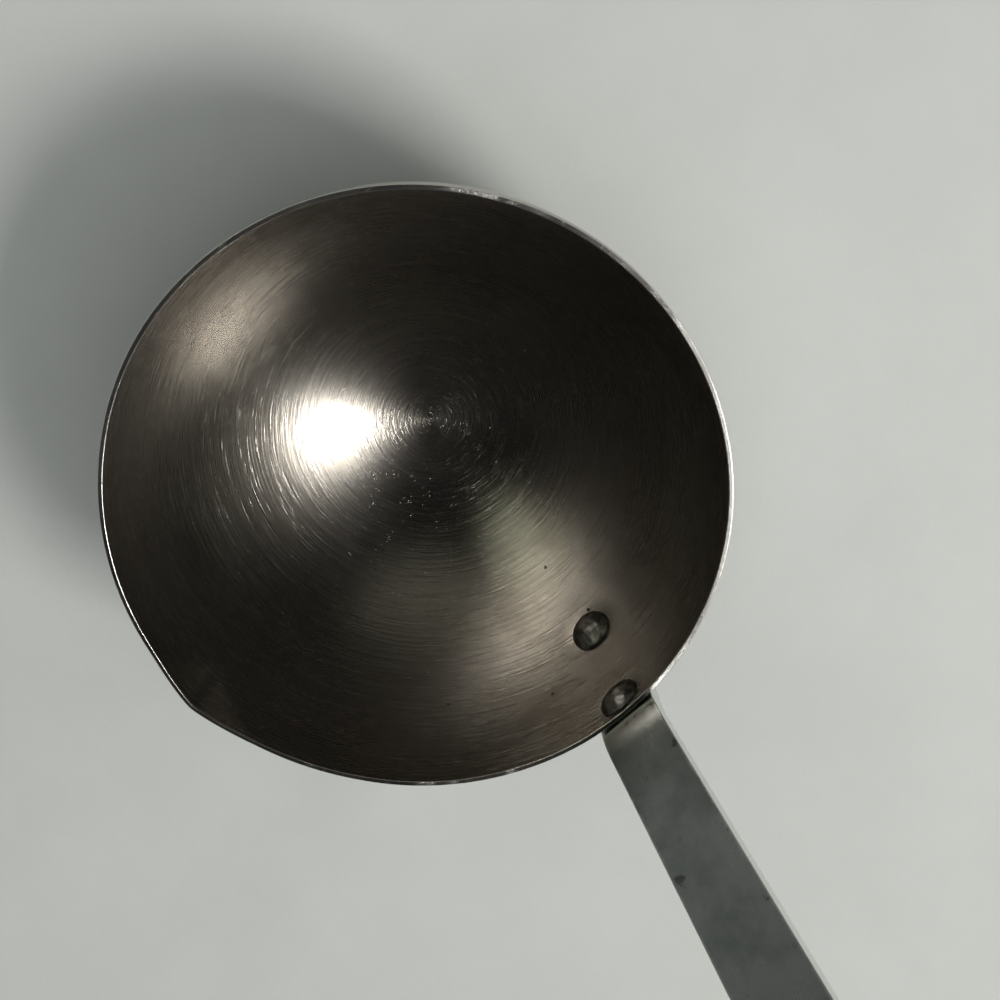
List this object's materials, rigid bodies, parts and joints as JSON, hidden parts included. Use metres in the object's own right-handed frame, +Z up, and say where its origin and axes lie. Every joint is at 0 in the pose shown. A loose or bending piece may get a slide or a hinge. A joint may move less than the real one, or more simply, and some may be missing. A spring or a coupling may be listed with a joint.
{
  "type": "ladle",
  "caption": "Round sheet-steel bowl with a pouring lip at its left, riveted to a flat, tapering strip handle with a hanging hole, for serving and pouring.",
  "frame": {"origin": "middle of the hanging hole, halfway through the strip", "axes": "+Z up with the rim level and the bowl open upwards, +X the way the handle rises, away from the bowl, -Y the way the pouring lip looks"},
  "size_m": [0.239, 0.1023, 0.284],
  "materials": {
    "bowl_steel": "worn stainless sheet, polished in rings round the bowl, with fine scratches",
    "handle_steel": "dull satin stainless strip with worn edges",
    "rivet_steel": "hammered stainless heads, darker round the foot"
  },
  "bodies": {
    "root": {"bowl": "bowl_steel", "handle": "handle_steel", "upper_rivet": "rivet_steel", "lower_rivet": "rivet_steel"}
  },
  "joints": []
}
